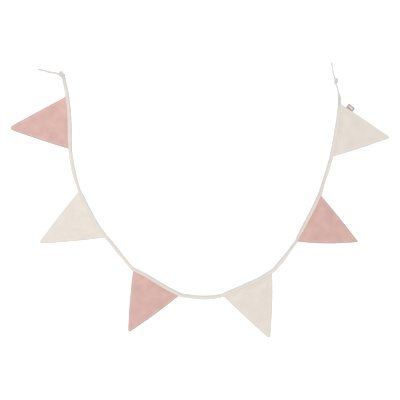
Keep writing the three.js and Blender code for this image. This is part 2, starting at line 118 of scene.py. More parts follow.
# Overhand knots: the centre, the size of the loops, the turn of the whole knot and its strand
LEFT_KNOT = dict(x=-456.6, y=412.6, loop=3.3, turn=-45, lift=1.5, width=6.2, height=3.2)
RIGHT_KNOT = dict(x=448.1, y=393.8, loop=2.5, turn=-90, lift=1.2, width=4.6, height=2.5)

# How far a knot's two ends stand apart, its rows, and those in which its strand becomes the tail
KNOT_OPEN = 0.69
KNOT_ROWS = 44
KNOT_EASE = 8

# Free ends past the knots: the widths at knot and tip, the height and points along the middle
LEFT_TAIL = dict(width=7.0, tip_width=4.4, height=2.2,
                 points=[(-467.5, 415.5), (-478.0, 419.3), (-501.0, 423.0), (-516.5, 427.6),
                         (-534.0, 430.8)])
RIGHT_TAIL = dict(width=5.2, tip_width=3.8, height=1.9,
                  points=[(445.0, 402.5), (442.8, 409.0), (438.6, 424.5), (433.8, 453.5)])

# The label: its middle where it shows beyond the seam, its direction, length, and depths beyond
# and inside the seam, then the room between its legs and how far it curls and sinks
LABEL = dict(x=497.0, y=304.6, heading=-40.2, length=25.0, shows=14.0, caught=3.0)
LABEL_GAP = 0.3
LABEL_CURL = 0.25
LABEL_DROOP = 0.55

# Where the label parts the two panels: distances out along the seam, how deep and how much
PARTING = dict(name="flag_6", start=26.0, end=53.0, fade=6.0, depth=6.0, rise=1.0)

# Soft ridges of each pennant: from one point to another, as distances along the tape from the
# pennant's middle and out from the fold line, how far each reaches and how high it rises.
# A negative rise is a trough.
FOLDS = {
    "flag_1": [(-56, 46, -4, 160, 13, 1.7), (18, 60, 24, 120, 20, 0.9),
               (-10, 129, -35, 76, 7, -0.5)],
    "flag_2": [(62, 36, 36, 84, 14, 1.4), (-18, 60, -6, 150, 18, 0.8), (26, 66, 56, 30, 6, -0.5)],
    "flag_3": [(14, 32, -6, 84, 13, 1.6), (-42, 38, -32, 80, 14, 1.0), (54, 34, 26, 100, 13, 0.9),
               (-5.5, 30, -22, 62, 6, -0.7), (26, 30, 42, 54, 6, -0.5)],
    "flag_4": [(26, 36, 8, 112, 14, 1.2), (-38, 42, -16, 104, 18, 0.8), (22, 41, 6, 106, 4, -0.3)],
    "flag_5": [(46, 30, 6, 96, 15, 1.5), (-42, 36, -18, 92, 17, 1.0), (22, 60, 18, 90, 7, -0.6)],
    "flag_6": [(24, 38, 44, 72, 13, 1.3), (-42, 40, -18, 96, 17, 0.8), (-6, 118, 4, 166, 10, 0.8),
               (40, 30, 59, 54, 6, -0.5)],
}

# The seamed sides: the radius of the turned edge, the turned-in allowance, how much it
# thickens the side, how far the middle sinks below it and where it starts to show, and the
# puckers along the seam, each wave with its length and share
SEAM_RADIUS = 1.3
ALLOWANCE = 5.5
ALLOWANCE_FADE = 3.0
ALLOWANCE_RISE = 0.15
MIDDLE_SINK = 0.25
ALLOWANCE_SHOWS_FROM = DRAPE_START - 4
PUCKER_RISE = 0.16
PUCKER_REACH = 5.0
PUCKERS_START = (18, 30)
PUCKER_SHIFT = 1.9
PUCKERS_ON_BACK = 0.5
PUCKER_WAVES = [(11.3, 1.0), (7.1, 0.55), (17.9, 0.8)]

# The painted shadow of the tape's open edge, a line on a pennant beside it: how far past the edge,
# and its reach
TAPE_SHADOW_MIDDLE = 0.7
TAPE_SHADOW_REACH = 1.5

# Broad unevenness of pressed cotton, and the small crinkle of washed cotton: how many waves, the
# shortest and longest, how high they rise and how far their middle lies above the surface
WAVES = [
    dict(count=7, shortest=26.0, longest=80.0, rise=0.11, middle=1.0),
    dict(count=16, shortest=7.0, longest=17.0, rise=0.032, middle=0.6),
]
WAVE_SEED = 70

# How finely the cloth is divided. A panel's columns lie at these distances from both sides, in
# at most this share of its width, and evenly in the middle.
PANEL_ROWS = 84
TIP_ROWS = 18
TIP_LAST_ANGLE = 89.2
BAND_COLUMNS = [0.0, 0.25, 0.6, 1.05, 1.6, 2.4, 3.4, 4.6, 6.0, 7.6]
BAND_SHARE = 0.42
MIDDLE_COLUMNS = 46
PENNANT_STEPS = 8
STRETCH_STEPS = 7
LEAD_STEPS = 6
TAIL_STEPS = 26
FINE_STEPS = 12
TAPE_STEP = 1.7
LABEL_STEPS = 28
LABEL_ARC = 9


def blend_in(value, low, high):
    """A smooth step from 0 at low to 1 at high."""
    share = np.clip((np.asarray(value, float) - low) / (high - low), 0.0, 1.0)
    return share * share * (3.0 - 2.0 * share)


def through(values, at):
    """A smooth run through evenly spaced rows of values, at running from 0 to 1."""
    values = np.asarray(values, float)
    last = len(values) - 1
    place = np.clip(np.asarray(at, float), 0.0, 1.0) * last
    i = np.minimum(place.astype(int), last - 1)
    u = place - i
    if values.ndim > 1:
        u = u[..., None]
    before = values[np.maximum(i - 1, 0)]
    after = values[np.minimum(i + 2, last)]
    step = values[i + 1] - values[i]
    slope_0 = (values[i + 1] - before) / 2
    slope_1 = (after - values[i]) / 2
    return (values[i] + u * slope_0 + u**2 * (3 * step - 2 * slope_0 - slope_1)
            + u**3 * (slope_0 + slope_1 - 2 * step))


def axes(heading):
    """Unit vectors along the tape and out from its fold line towards the pennants."""
    angle = math.radians(heading)
    along = np.array([math.cos(angle), math.sin(angle)])
    out = np.array([math.sin(angle), -math.cos(angle)])
    return along, out


def spot_on(pennant, along, out):
    """The place of a point of a pennant, given along the tape and out from the fold line."""
    unit_along, unit_out = axes(pennant["heading"])
    x = pennant["x"] + unit_along[0] * along + unit_out[0] * out
    y = pennant["y"] + unit_along[1] * along + unit_out[1] * out
    return x, y


def fold_inset(pennant, along):
    return through(pennant["fold"], along / pennant["base"] + 0.5)


def tip_circle(pennant):
    """The rounded point: a circle that touches both sides."""
    side_a = math.atan2(pennant["base"] / 2 + pennant["lean"], pennant["height"])
    side_b = math.atan2(pennant["base"] / 2 - pennant["lean"], pennant["height"])
    half = (side_a + side_b) / 2
    tilt = (side_a - side_b) / 2
    radius = pennant["tip"] / (1 / math.sin(half) - 1)
    back = radius / math.sin(half)
    out = pennant["height"] - back * math.cos(tilt)
    along = pennant["lean"] - back * math.sin(tilt)
    return dict(radius=radius, along=along, out=out, start=out + radius * math.sin(half))


def side_at(pennant, out, hand):
    """Where a side lies at each distance out: hand is -1 for the first side, 1 for the second."""
    tip = tip_circle(pennant)
    share = out / pennant["height"]
    bow = pennant["bow_a"] if hand < 0 else pennant["bow_b"]
    line = (hand * pennant["base"] / 2 * (1 - share) + pennant["lean"] * share
            + hand * bow * 4 * share * (1 - share))
    rest = np.maximum(tip["radius"] ** 2 - (out - tip["out"]) ** 2, 0.0)
    rounded = tip["along"] + hand * np.sqrt(rest)
    closest = np.maximum(line, rounded) if hand < 0 else np.minimum(line, rounded)
    return np.where(out < tip["out"], line, closest)


def deselect_all():
    for other in list(bpy.context.selected_objects):
        other.select_set(False)


def select_only(piece):
    deselect_all()
    bpy.context.view_layer.objects.active = piece
    piece.select_set(True)


def grid_sheet(name, points, uv):
    """A grid primitive whose points are moved to the given rows and columns of places."""
    rows, columns = points.shape[:2]
    deselect_all()
    bpy.ops.mesh.primitive_grid_add(x_subdivisions=columns - 1, y_subdivisions=rows - 1, size=2)
    sheet = bpy.context.object
    sheet.name = name
    sheet.data.name = name
    mesh = sheet.data
    flat = np.empty(len(mesh.vertices) * 3)
    mesh.vertices.foreach_get("co", flat)
    flat = flat.reshape(-1, 3)
    column = np.rint((flat[:, 0] + 1) / 2 * (columns - 1)).astype(int)
    row = np.rint((flat[:, 1] + 1) / 2 * (rows - 1)).astype(int)
    mesh.vertices.foreach_set("co", (points[row, column] * MM).ravel())
    corner = np.empty(len(mesh.loops), int)
    mesh.loops.foreach_get("vertex_index", corner)
    mesh.uv_layers[0].data.foreach_set("uv", (uv[row, column][corner] * MM).ravel())
    mesh.update()
    return sheet, row, column


def set_attribute(sheet, name, values):
    attribute = sheet.data.attributes.new(name, "FLOAT", "POINT")
    attribute.data.foreach_set("value", np.ascontiguousarray(values, np.float32))


def thicken(sheet, thickness):
    """Gives a sheet its cloth's thickness, half to each side, and smooth shading."""
    select_only(sheet)
    solid = sheet.modifiers.new("cloth", "SOLIDIFY")
    solid.thickness = thickness * MM
    solid.offset = 0
    bpy.ops.object.modifier_apply(modifier=solid.name)
    bpy.ops.object.mode_set(mode="EDIT")
    bpy.ops.mesh.select_all(action="SELECT")
    bpy.ops.mesh.normals_make_consistent(inside=False)
    bpy.ops.object.mode_set(mode="OBJECT")
    bpy.ops.object.shade_smooth()


def row_depths(pennant):
    """Distances out from the fold line, closer together round the point."""
    tip = tip_circle(pennant)
    straight = np.linspace(TOP_EDGE, tip["start"], PANEL_ROWS)
    first = math.asin((tip["start"] - tip["out"]) / tip["radius"])
    angles = np.linspace(first, math.radians(TIP_LAST_ANGLE), TIP_ROWS + 1)[1:]
    return np.concatenate([straight, tip["out"] + tip["radius"] * np.sin(angles)])


def column_offsets(width):
    """Distances from the first side for each row's width: close together in the seamed bands."""
    bands = np.array(BAND_COLUMNS)
    shares = bands / bands[-1] * BAND_SHARE
    edge = np.minimum(bands[None, :], shares[None, :] * width[:, None])
    inner = np.linspace(0, 1, MIDDLE_COLUMNS + 2)[1:-1]
    inset = edge[:, -1:]
    middle = inset + (width[:, None] - 2 * inset) * inner[None, :]
    return np.concatenate([edge, middle, width[:, None] - edge[:, ::-1]], axis=1)


def fold_rise(pennant, along, out):
    """Height of the soft folds at each point of a pennant."""
    rise = np.zeros_like(along)
    for a0, o0, a1, o1, reach, height in FOLDS[pennant["name"]]:
        length = (a1 - a0) ** 2 + (o1 - o0) ** 2
        t = np.clip(((along - a0) * (a1 - a0) + (out - o0) * (o1 - o0)) / length, 0.0, 1.0)
        away = np.hypot(along - a0 - t * (a1 - a0), out - o0 - t * (o1 - o0))
        rise += height * np.exp(-((away / reach) ** 2))
    return rise * blend_in(out, FOLDS_START, FOLDS_FULL)


def broad_waves(pennant, along, out):
    """Unevenness of the cloth, the same for both panels of a pennant, never below 0."""
    draw = np.random.default_rng(WAVE_SEED + PENNANTS.index(pennant))
    rise = np.zeros_like(along)
    for kind in WAVES:
        for _ in range(kind["count"]):
            angle = draw.uniform(0, math.pi)
            length = draw.uniform(kind["shortest"], kind["longest"])
            phase = draw.uniform(0, 2 * math.pi)
            run = along * math.cos(angle) + out * math.sin(angle)
            wave = np.sin(2 * math.pi * run / length + phase)
            rise += kind["rise"] * (kind["middle"] + wave)
    return np.maximum(rise, 0) * blend_in(out, DRAPE_START, FOLDS_FULL)


def seam_puckers(out, edge, hand):
    """Small gathers along a seamed side, strongest at its edge."""
    ripple = np.zeros_like(out)
    for number, (length, share) in enumerate(PUCKER_WAVES):
        phase = PUCKER_SHIFT * number + hand
        ripple += share * np.sin(2 * math.pi * out / length + phase)
    return PUCKER_RISE * ripple * np.exp(-edge / PUCKER_REACH) * blend_in(out, *PUCKERS_START)


def label_parting(pennant, out, from_second):
    """Room that the label takes between the two panels at its seam."""
    if pennant["name"] != PARTING["name"]:
        return 0.0
    enter = blend_in(out, PARTING["start"] - PARTING["fade"], PARTING["start"])
    leave = 1 - blend_in(out, PARTING["end"], PARTING["end"] + PARTING["fade"])
    inside = 1 - blend_in(from_second, PARTING["depth"], PARTING["depth"] + PARTING["fade"])
    return PARTING["rise"] * enter * leave * inside


def panel_heights(pennant, layer, along, out, edge, hand, from_second):
    """How high a panel lies: up into the tape, over its folds and round at its seams."""
    in_tape = (TAPE_LEG + CLEARANCE) * (1 - blend_in(out, DRAPE_START, DRAPE_END))
    under = in_tape + fold_rise(pennant, along, out) + broad_waves(pennant, along, out)
    puckers = seam_puckers(out, edge, hand)
    turned = np.sqrt(1 - (1 - np.clip(edge / SEAM_RADIUS, 0, 1)) ** 2)
    half = PANEL_CLOTH / 2
    seam = under + PANEL_ROOM
    if layer == "back":
        low = under + half
        raised = np.maximum(puckers, 0) * PUCKERS_ON_BACK
        return low + (seam - half - low) * (1 - turned) + raised
    shown = blend_in(out, ALLOWANCE_SHOWS_FROM, DRAPE_END)
    allowance = (1 - blend_in(edge, ALLOWANCE, ALLOWANCE + ALLOWANCE_FADE)) * shown
    high = under + 2 * PANEL_ROOM + CLEARANCE - half
    high = high + ALLOWANCE_RISE * allowance - MIDDLE_SINK * (1 - allowance) * shown
    high = high + puckers
    low = seam + half
    return low + (high - low) * turned + label_parting(pennant, out, from_second)


def panel(pennant, layer):
    """One panel of a pennant, as a sheet: layer is back or front."""
    out = row_depths(pennant)
    first = side_at(pennant, out, -1)
    second = side_at(pennant, out, 1)
    from_first = column_offsets(second - first)
    along = first[:, None] + from_first
    from_second = second[:, None] - along
    out = np.repeat(out[:, None], along.shape[1], axis=1)
    edge = np.minimum(np.minimum(from_first, from_second), out.max() - out)
    hand = np.where(from_first < from_second, -1.0, 1.0)
    share = out / pennant["height"]
    x, y = spot_on(pennant, along, out - fold_inset(pennant, along) * (1 - share))
    z = panel_heights(pennant, layer, along, out, edge, hand, from_second)
    name = f"{pennant['name']}_{layer}_panel"
    uv = np.stack([along, out], axis=-1)
    sheet, row, column = grid_sheet(name, np.stack([x, y, z], axis=-1), uv)
    # A painted shadow of the tape's open edge on the pennant, in a line just past it
    past_tape = out - through(pennant["tape"], along / pennant["base"] + 0.5)
    tape_shadow = np.exp(-(((past_tape - TAPE_SHADOW_MIDDLE) / TAPE_SHADOW_REACH) ** 2))
    set_attribute(sheet, "from_seam", edge[row, column] * MM)
    set_attribute(sheet, "painted_tape_shadow", tape_shadow[row, column])
    # Painted light and shade: the pennant's tone, the same all over it
    set_attribute(sheet, "tone", np.full(len(row), pennant["tone"]))
    thicken(sheet, PANEL_CLOTH)
    return sheet


def tape_row(fold, outer, height, gather, show_through=0.0, lift=0.0):
    """One row of the tape: its fold line, its open edge, how thick it lies there, how far it is
    gathered into a strand, whether a pink pennant shows through and its height above 0."""
    return [*fold, *outer, height, gather, show_through, lift]


def strip_rows():
    """The tape's rows from the left knot to the right one."""
    rows = []

    def add(x, y, heading, width, slot, show_through=0.0, gather=0.0):
        _, out = axes(heading)
        fold = np.array([x, y])
        height = 2 * TAPE_LEG + slot
        rows.append(tape_row(fold, fold + out * width, height, gather, show_through))

    for end in LEFT_END:
        add(**end, slot=SLOT_BETWEEN)
    for number, pennant in enumerate(PENNANTS):
        reach = pennant["base"] / PENNANT_STEPS
        over = []
        for i in range(PENNANT_STEPS + 1):
            along = pennant["base"] * (i / PENNANT_STEPS - 0.5)
            inset = fold_inset(pennant, np.array(along))
            x, y = spot_on(pennant, along, -inset)
            change = (fold_inset(pennant, np.array(along + reach / 2))
                      - fold_inset(pennant, np.array(along - reach / 2)))
            turn = math.degrees(math.atan2(change, reach))
            width = float(through(pennant["tape"], i / PENNANT_STEPS))
            over.append((float(x), float(y), pennant["heading"] + turn, width))
        if number > 0:
            between(add, last, over[0], STRETCHES[number - 1])
        for x, y, heading, width in over:
            add(x, y, heading, width, SLOT_AT_PENNANT, float(pennant["cloth"] == "pink"))
        last = over[-1]
    for end in RIGHT_END:
        add(**end, slot=SLOT_BETWEEN)
    return rows


def on_curve(knots, t):
    """The place and direction at t along a curve with two ends and two handles."""
    weights = [(1 - t) ** 3, 3 * t * (1 - t) ** 2, 3 * t**2 * (1 - t), t**3]
    slopes = [-3 * (1 - t) ** 2, 3 * (1 - t) * (1 - 3 * t), 3 * t * (2 - 3 * t), 3 * t**2]
    spot = sum(w * k for w, k in zip(weights, knots))
    tangent = sum(w * k for w, k in zip(slopes, knots))
    return spot, tangent / np.linalg.norm(tangent[:2])


def between(add, last, first, stretch):
    """Rows of the free stretch between two pennants, the ends left out."""
    start = np.array(last[:2])
    end = np.array(first[:2])
    distance = np.linalg.norm(end - start)
    inward = np.array([start[1] - end[1], end[0] - start[0]]) / distance
    sway = inward * stretch["sway"]
    knots = [start, start + axes(stretch["leave"])[0] * distance / 3 + sway,
             end - axes(stretch["arrive"])[0] * distance / 3 + sway, end]
    for i in range(1, STRETCH_STEPS):
        t = i / STRETCH_STEPS
        spot, tangent = on_curve(knots, t)
        near = min(t, 1 - t) * distance
        closed = float(blend_in(near, 0, SLOT_CLOSES_OVER))
        slot = SLOT_AT_PENNANT + (SLOT_BETWEEN - SLOT_AT_PENNANT) * closed
        width = float(through([last[3], stretch["early"], stretch["late"], first[3]], t))
        add(spot[0], spot[1], math.degrees(math.atan2(tangent[1], tangent[0])), width, slot)


def knot_points(knot, at):
    """Places along an overhand knot: three lobes with the ends leaving side by side."""
    angle = math.pi + KNOT_OPEN + np.asarray(at) * (2 * math.pi - 2 * KNOT_OPEN)
    flat_x = (np.sin(angle) + 2 * np.sin(2 * angle)) * knot["loop"]
    flat_y = (np.cos(angle) - 2 * np.cos(2 * angle)) * knot["loop"]
    turn = math.radians(knot["turn"])
    x = knot["x"] + flat_x * math.cos(turn) - flat_y * math.sin(turn)
    y = knot["y"] + flat_x * math.sin(turn) + flat_y * math.cos(turn)
    low = knot["lift"] - knot["lift"] * np.sin(3 * angle)
    return np.stack([x, y, low], axis=-1)


def strand_rows(middle, width, height, hand):
    """Rows of the gathered tape along a line of middles, hand is the side the fold lies on."""
    ahead = np.gradient(middle[:, :2], axis=0)
    ahead /= np.linalg.norm(ahead, axis=1)[:, None]
    across = np.stack([ahead[:, 1], -ahead[:, 0]], axis=-1) * hand
    rows = []
    for i in range(len(middle)):
        fold = middle[i, :2] - across[i] * width[i] / 2
        outer = middle[i, :2] + across[i] * width[i] / 2
        rows.append(tape_row(fold, outer, height[i], 1.0, 0.0, max(middle[i, 2], 0.0)))
    return rows


def knotted_end(knot, tail):
    """Rows from the tape's narrow end through its knot and along its free end, in that order."""
    at = np.linspace(0, 1, KNOT_ROWS)
    inside = knot_points(knot, at)
    tail_points = np.array([inside[-1], *[(x, y, 0.0) for x, y in tail["points"]]])
    outside = through(tail_points, np.linspace(0, 1, TAIL_STEPS + 1)[1:])
    middle = np.concatenate([inside, outside])
    narrowing = np.linspace(tail["width"], tail["tip_width"], TAIL_STEPS)
    level = np.full(TAIL_STEPS, tail["height"])
    width = np.concatenate([np.full(KNOT_ROWS, knot["width"]), narrowing])
    height = np.concatenate([np.full(KNOT_ROWS, knot["height"]), level])
    for i in range(KNOT_EASE):
        share = (i + 1) / (KNOT_EASE + 1)
        place = KNOT_ROWS - KNOT_EASE // 2 + i
        width[place] = knot["width"] + (tail["width"] - knot["width"]) * share
        height[place] = knot["height"] + (tail["height"] - knot["height"]) * share
    return middle, width, height


def lead_rows(first, last):
    """Rows from one row of the tape to another, along a curve that leaves and arrives square to
    them, the two left out."""
    ends = []
    for row in (first, last):
        fold = np.array(row[0:2])
        outer = np.array(row[2:4])
        width = np.linalg.norm(outer - fold)
        across = (outer - fold) / width
        place = np.array([*(fold + outer) / 2, row[7]])
        ends.append((place, np.array([-across[1], across[0], 0.0]), width))
    (start, leave, wide_0), (end, arrive, wide_1) = ends
    third = np.linalg.norm(end - start) / 3
    knots = [start, start + leave * third, end - arrive * third, end]
    rows = []
    for i in range(1, LEAD_STEPS):
        t = i / LEAD_STEPS
        spot, way = on_curve(knots, t)
        half = np.array([way[1], -way[0]]) * (wide_0 + (wide_1 - wide_0) * t) / 2
        height = first[4] + (last[4] - first[4]) * t
        gather = first[5] + (last[5] - first[5]) * t
        rows.append(tape_row(spot[:2] - half, spot[:2] + half, height, gather, 0.0, spot[2]))
    return rows


def all_tape_rows():
    """Every row of the tape, from the left free end's tip to the right one's."""
    left = knotted_end(LEFT_KNOT, LEFT_TAIL)
    left_rows = strand_rows(left[0][::-1], left[1][::-1], left[2][::-1], 1.0)
    right = knotted_end(RIGHT_KNOT, RIGHT_TAIL)
    right_rows = strand_rows(*right, 1.0)
    strip = strip_rows()
    return [*left_rows, *lead_rows(left_rows[-1], strip[0]), *strip,
            *lead_rows(strip[-1], right_rows[0]), *right_rows]


def spread(rows):
    """The rows of the tape at even steps along its middle, as columns of an array."""
    rows = np.array(rows)
    last = len(rows) - 1
    fine = through(rows, np.linspace(0, last, last * FINE_STEPS + 1) / last)
    middle = np.concatenate([(fine[:, :2] + fine[:, 2:4]) / 2, fine[:, 7:8]], axis=1)
    run = np.concatenate([[0], np.cumsum(np.linalg.norm(np.diff(middle, axis=0), axis=1))])
    steps = int(run[-1] / TAPE_STEP)
    even = np.linspace(0, run[-1], steps + 1)
    return np.stack([np.interp(even, run, fine[:, i]) for i in range(fine.shape[1])], axis=1), even


# The tape's section, from the turned-in edge of the lower leg round the fold to that of the
# upper leg. The hem, its turn and the fold's bend have a size, and a share of the tape's width
# that they stay under. Then come the shares and angles at which they are divided.
HEM = 14.0
HEM_SHARE = 0.9
HEM_TURN = 0.45
HEM_TURN_SHARE = 0.06
HEM_LIFT = TAPE_CLOTH + 0.08
FOLD_RADIUS = 1.4
FOLD_RADIUS_SHARE = 0.3
HEM_PLACES = (0, 0.35, 0.7, 1)
HEM_ANGLES = (45, 90, 135)
LEG_PLACES = 9
FOLD_ANGLES = (30, 60)
STITCH_INSET = 1.9


def tape_section(width, height):
    """The section's points across and up for each row, and the cloth's run along the section."""
    half = TAPE_CLOTH / 2
    level = np.zeros_like(width)
    hem = np.minimum(HEM, HEM_SHARE * width)
    turn = np.minimum(HEM_TURN, HEM_TURN_SHARE * width)
    bend = np.minimum(FOLD_RADIUS, FOLD_RADIUS_SHARE * width)
    middle = height / 2
    lower = []
    for share in HEM_PLACES:
        lower.append((width - hem + (hem - turn) * share, half + HEM_LIFT + level))
    for angle in HEM_ANGLES:
        a = math.radians(angle)
        rise = HEM_LIFT / 2 * (1 + math.cos(a))
        lower.append((width - turn + turn * math.sin(a), half + rise + level))
    for share in np.linspace(1, 0, LEG_PLACES):
        lower.append((bend + (width - turn - bend) * share, half + level))
    for angle in FOLD_ANGLES:
        a = math.radians(angle)
        lower.append((bend - bend * math.sin(a), middle - (middle - half) * math.cos(a)))
    upper = [(x, height - z) for x, z in lower[::-1]]
    section = [*lower, (level, middle), *upper]
    across = np.stack([x for x, _ in section], axis=1)
    up = np.stack([z for _, z in section], axis=1)
    pieces = np.hypot(np.diff(across, axis=1), np.diff(up, axis=1))
    run = np.concatenate([level[:, None], np.cumsum(pieces, axis=1)], axis=1)
    return across, up, run


# The tape's relief: ripples and how they lean and sway, how much of them is left at a pennant and
# at an edge, the dent of the stitches, and the pleats and strays where it is gathered
RIPPLE_LENGTH = 9.5
RIPPLE_LEAN = 0.9
RIPPLE_RISE = 0.22
RIPPLE_SWAY = (1.3, 23.0)
RIPPLE_AT_PENNANT = 0.35
RIPPLE_AT_EDGE = 0.4
UPPER_LEG = (0.45, 0.75)
NEARLY_CLOSED = 0.2
STITCH_SINK = 0.35
STITCH_REACH = 1.1
STRAND_ROUND = 0.9
PLEATS = 3.2
PLEAT_DEPTH = 0.42
PLEAT_DRIFT = 5.2
PLEAT_SWAY = (1.2, 7.7)
STRAND_STRAY = 0.22
FOLD_STRAYS = ((2.3, 0.0), (5.1, 1.0))
OPEN_STRAYS = ((2.9, 2.0), (4.3, 0.0))

# The tape's painted shade: how far it reaches in from the fold and from the open edge, how much is
# left of it between pink pennants, and where those start to show, by rows and across the tape
FOLD_SHADE = (3.6, 8.0)
FOLD_SHADE_LEAST = 0.65
RIM_SHADE = 1.1
PINK_ROWS = (0.6, 1.0)
PINK_ACROSS = (0.3, 0.62)

# Places where painted shade darkens the tape, where it is creased or gathered: x, y, reach and how
# much
TAPE_SHADES = [
    (457, 328, 22, 0.12),
    (-441, 396, 16, 0.03),
    (300, -152, 18, 0.04),
    (398, 50, 30, 0.045),
]


def stray(along, waves):
    """How far an edge of the gathered strand strays at each distance along it."""
    return STRAND_STRAY * sum(np.sin(along / length + start) for length, start in waves)


def tape_edges(rows, along, gather):
    """The fold line and the open edge at each row, uneven where the tape is gathered."""
    way = rows[:, 2:4] - rows[:, 0:2]
    way = way / np.linalg.norm(way, axis=1)[:, None]
    fold = rows[:, 0:2] + way * stray(along, FOLD_STRAYS) * gather
    outer = rows[:, 2:4] + way * stray(along, OPEN_STRAYS) * gather
    return fold, outer


def tape_relief(along, across, up, width, tall, gather):
    """The heights of the tape's section with its ripples, dents and pleats, and how much of each
    place lies down in a pleat."""
    share = across / width
    loose = 4 * share * (1 - share)
    top = blend_in(up / tall, *UPPER_LEG)
    closed = 2 * TAPE_LEG + SLOT_BETWEEN + NEARLY_CLOSED
    free = 1 - blend_in(tall, closed, 2 * TAPE_LEG + SLOT_AT_PENNANT)
    sway, sway_length = RIPPLE_SWAY
    ripple = np.sin(2 * math.pi * (along + RIPPLE_LEAN * across) / RIPPLE_LENGTH
                    + sway * np.sin(along / sway_length))
    at_pennant = RIPPLE_AT_PENNANT + (1 - RIPPLE_AT_PENNANT) * free
    at_edge = RIPPLE_AT_EDGE + (1 - RIPPLE_AT_EDGE) * loose
    up = up + top * RIPPLE_RISE * ripple * at_pennant * at_edge * (1 - gather)
    from_seam = width - across - STITCH_INSET
    up = up - top * STITCH_SINK * np.exp(-((from_seam / STITCH_REACH) ** 2)) * (1 - gather)
    rounding = np.sqrt(np.clip(1 - (2 * share - 1) ** 2 * STRAND_ROUND, 0, 1))
    rolled = tall / 2 + (up - tall / 2) * rounding
    sway, sway_length = PLEAT_SWAY
    drift = along / PLEAT_DRIFT + sway * np.sin(along / sway_length)
    pleat = np.cos(2 * math.pi * PLEATS * share + drift)
    rolled = rolled + top * PLEAT_DEPTH * pleat * loose
    return up * (1 - gather) + rolled * gather, 1 - 0.5 * (1 + pleat) * loose


def tape():
    """The folded tape, knots and free ends: one sheet from tip to tip."""
    rows, even = spread(all_tape_rows())
    along = even[:, None]
    gather = np.clip(rows[:, 5:6], 0, 1)
    fold, outer = tape_edges(rows, along, gather)
    way = outer - fold
    width = np.linalg.norm(way, axis=1)[:, None]
    way = way / width
    across, up, run = tape_section(width[:, 0], rows[:, 4])
    up, in_pleat = tape_relief(along, across, up, width, rows[:, 4:5], gather)
    points = np.stack([
        fold[:, 0:1] + way[:, 0:1] * across,
        fold[:, 1:2] + way[:, 1:2] * across,
        np.maximum(up + np.maximum(rows[:, 7:8], 0), TAPE_CLOTH / 2),
    ], axis=-1)
    uv = np.stack([run, np.repeat(along, run.shape[1], axis=1)], axis=-1)
    sheet, row, column = grid_sheet("folded_tape", points, uv)
    pink = blend_in(rows[:, 6:7], *PINK_ROWS)
    near_fold = (1 - blend_in(across, *FOLD_SHADE)) * (1 - gather)
    # The tape's tone: painted shade round each place of TAPE_SHADES
    tone = np.ones_like(across)
    for x, y, reach, much in TAPE_SHADES:
        away = np.hypot(fold[:, 0:1] - x, fold[:, 1:2] - y)
        tone = tone - much * np.exp(-((away / reach) ** 2))
    # Painted shade on the tape: near_fold along its fold, open_rim at its open edge, creased in
    # the pleats where it is gathered, and tone where it is creased or gathered
    marks = {
        "over_pink": pink * blend_in(across / width, *PINK_ACROSS) * (1 - gather),
        "near_fold": near_fold * (FOLD_SHADE_LEAST + (1 - FOLD_SHADE_LEAST) * pink),
        "open_rim": np.exp(-(((width - across) / RIM_SHADE) ** 2)) * (1 - gather),
        "creased": gather * in_pleat,
        "tone": tone,
    }
    for name, values in marks.items():
        set_attribute(sheet, name, values[row, column])
    thicken(sheet, TAPE_CLOTH)
    return sheet, float(even[-1])


# The tape's seam: one stitch after another beside the open edge, on both faces
STITCH_PITCH = 3.1
STITCH_LENGTH = 2.5
STITCH_WIDTH = 0.42
STITCH_HEIGHT = 0.3
STITCH_PROUD = 0.02
STITCH_UNDER = 0.12


def one_stitch():
    """The points and faces of one stitch, from a small ball drawn out along Y."""
    deselect_all()
    bpy.ops.mesh.primitive_uv_sphere_add(segments=8, ring_count=5, radius=0.5)
    ball = bpy.context.object
    bpy.ops.object.mode_set(mode="EDIT")
    bpy.ops.mesh.select_all(action="SELECT")
    bpy.ops.transform.rotate(value=math.pi / 2, orient_axis="X", center_override=(0, 0, 0))
    bpy.ops.transform.resize(value=(STITCH_WIDTH, STITCH_LENGTH, STITCH_HEIGHT))
    bpy.ops.object.mode_set(mode="OBJECT")
    points = np.array([v.co for v in ball.data.vertices])
    faces = [list(p.vertices) for p in ball.data.polygons]
    bpy.data.objects.remove(ball)
    return points, faces


def tape_stitches():
    """Both rows of the tape's seam, top and bottom, as one mesh of copies of one stitch."""
    rows, even = spread(strip_rows())
    points, faces = one_stitch()
    places = []
    corners = []
    width = np.linalg.norm(rows[:, 2:4] - rows[:, 0:2], axis=1)
    unit = (rows[:, 2:4] - rows[:, 0:2]) / width[:, None]
    line = rows[:, 2:4] - unit * STITCH_INSET
    count = int(even[-1] / STITCH_PITCH)
    for number in range(1, count):
        at = number * STITCH_PITCH
        x, y, across_x, across_y, tall = (
            np.interp(at, even, column)
            for column in (line[:, 0], line[:, 1], unit[:, 0], unit[:, 1], rows[:, 4])
        )
        turn = math.atan2(across_y, across_x)
        cos, sin = math.cos(turn), math.sin(turn)
        rotated = points @ np.array([[cos, sin, 0], [-sin, cos, 0], [0, 0, 1]])
        for z in (tall - STITCH_SINK + STITCH_PROUD, STITCH_UNDER):
            base = len(places) * len(points)
            places.append(rotated + np.array([x, y, z]))
            corners.extend([[base + v for v in face] for face in faces])
    mesh = bpy.data.meshes.new("tape_stitches")
    mesh.from_pydata((np.concatenate(places) * MM).tolist(), [], corners)
    mesh.update()
    stitches = bpy.data.objects.new("tape_stitches", mesh)
    bpy.context.scene.collection.objects.link(stitches)
    select_only(stitches)
    bpy.ops.object.shade_smooth()
    return stitches


